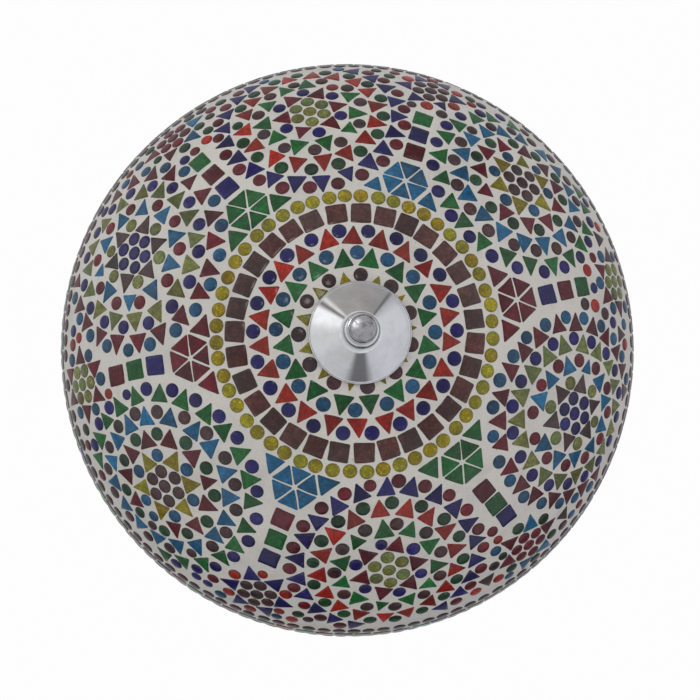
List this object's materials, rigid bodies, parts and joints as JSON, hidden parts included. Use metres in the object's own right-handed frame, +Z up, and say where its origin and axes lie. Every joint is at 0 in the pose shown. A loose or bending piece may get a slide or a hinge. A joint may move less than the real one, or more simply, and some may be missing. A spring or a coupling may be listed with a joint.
{
  "type": "mosaic glass ceiling light",
  "caption": "Flush ceiling light: a mosaic-covered glass bowl hangs from a ceiling pan on a threaded rod and is held by a conical cap and finial nut.",
  "frame": {"origin": "centre of the ceiling pan's flat back, on the ceiling", "axes": "+Z up into the ceiling, the light hangs towards -Z; the crossbar lies along Y and the cable hole is at +Y"},
  "size_m": [0.38, 0.38, 0.1692],
  "materials": {
    "mosaic": "hand-cut coloured glass set flush in pale grout",
    "clear_glass": "clear blown glass",
    "chrome": "polished chrome plate",
    "white_enamel": "white stove enamel on spun steel",
    "zinc_steel": "zinc-plated steel",
    "rubber": "matt black rubber",
    "holder_plastic": "moulded heat-resistant plastic",
    "opal_glass": "opal bulb glass",
    "brass": "plain brass",
    "live_insulation": "brown wire insulation",
    "neutral_insulation": "blue wire insulation",
    "earth_insulation": "green and yellow wire insulation"
  },
  "bodies": {
    "root": {"ceiling_pan": "white_enamel", "rim_gasket": "rubber", "cable_grommet": "rubber", "crossbar": "zinc_steel", "centre_rod": "zinc_steel", "upper_rod_nut": "zinc_steel", "lock_washer": "zinc_steel", "holder_spider": "zinc_steel", "lower_rod_nut": "zinc_steel", "stop_nut": "zinc_steel", "lampholder_1": "holder_plastic", "lampholder_2": "holder_plastic", "lampholder_3": "holder_plastic", "holder_nut_1": "zinc_steel", "holder_nut_2": "zinc_steel", "holder_nut_3": "zinc_steel", "holder_ring_1": "holder_plastic", "holder_ring_2": "holder_plastic", "holder_ring_3": "holder_plastic", "terminal_block": "holder_plastic", "terminal_screw": "zinc_steel", "terminal_nut": "zinc_steel", "earth_tag": "brass", "earth_screw": "brass", "earth_nut": "brass", "live_lead_1": "live_insulation", "live_lead_2": "live_insulation", "live_lead_3": "live_insulation", "neutral_lead_1": "neutral_insulation", "neutral_lead_2": "neutral_insulation", "neutral_lead_3": "neutral_insulation", "earth_lead": "earth_insulation"},
    "shade": {"mosaic_layer": "mosaic", "glass_bowl": "clear_glass", "inner_rubber_washer": "rubber", "inner_steel_washer": "zinc_steel", "outer_rubber_washer": "rubber", "chrome_cap": "chrome"},
    "finial": {"finial_collar": "chrome", "finial_knob": "chrome"},
    "bulb_travel_1": {"bulb_contact_1": "brass"},
    "bulb_travel_2": {"bulb_contact_2": "brass"},
    "bulb_travel_3": {"bulb_contact_3": "brass"},
    "bulb_1": {"bulb_base_1": "zinc_steel", "bulb_glass_1": "opal_glass"},
    "bulb_2": {"bulb_base_2": "zinc_steel", "bulb_glass_2": "opal_glass"},
    "bulb_3": {"bulb_base_3": "zinc_steel", "bulb_glass_3": "opal_glass"}
  },
  "joints": [
    {"name": "shade_lower", "type": "slide", "parent": "root", "child": "shade", "axis": [0, 0, -1], "range_m": [0, 0.006]},
    {"name": "finial_turn", "type": "hinge", "parent": "shade", "child": "finial", "pos_m": [0, 0, -0.16], "axis": [0, 0, -1], "range_deg": [0, 2160]},
    {"name": "bulb_travel_1_slide", "type": "slide", "parent": "root", "child": "bulb_travel_1", "axis": [0.866, 0.5, 0], "range_m": [0, 0.0142]},
    {"name": "bulb_travel_2_slide", "type": "slide", "parent": "root", "child": "bulb_travel_2", "axis": [-0.866, 0.5, 0], "range_m": [0, 0.0142]},
    {"name": "bulb_travel_3_slide", "type": "slide", "parent": "root", "child": "bulb_travel_3", "axis": [0, -1, 0], "range_m": [0, 0.0142]},
    {"name": "bulb_1_turn", "type": "hinge", "parent": "bulb_travel_1", "child": "bulb_1", "pos_m": [0, 0, -0.036], "axis": [0.866, 0.5, 0], "range_deg": [0, 1800]},
    {"name": "bulb_2_turn", "type": "hinge", "parent": "bulb_travel_2", "child": "bulb_2", "pos_m": [0, 0, -0.036], "axis": [-0.866, 0.5, 0], "range_deg": [0, 1800]},
    {"name": "bulb_3_turn", "type": "hinge", "parent": "bulb_travel_3", "child": "bulb_3", "pos_m": [0, 0, -0.036], "axis": [0, -1, 0], "range_deg": [0, 1800]}
  ],
  "couplings": [
    {"joint": "bulb_travel_1_slide", "follows": "bulb_1_turn", "m_per_rad": 0.00044882},
    {"joint": "bulb_travel_2_slide", "follows": "bulb_2_turn", "m_per_rad": 0.00044882},
    {"joint": "bulb_travel_3_slide", "follows": "bulb_3_turn", "m_per_rad": 0.00044882}
  ]
}
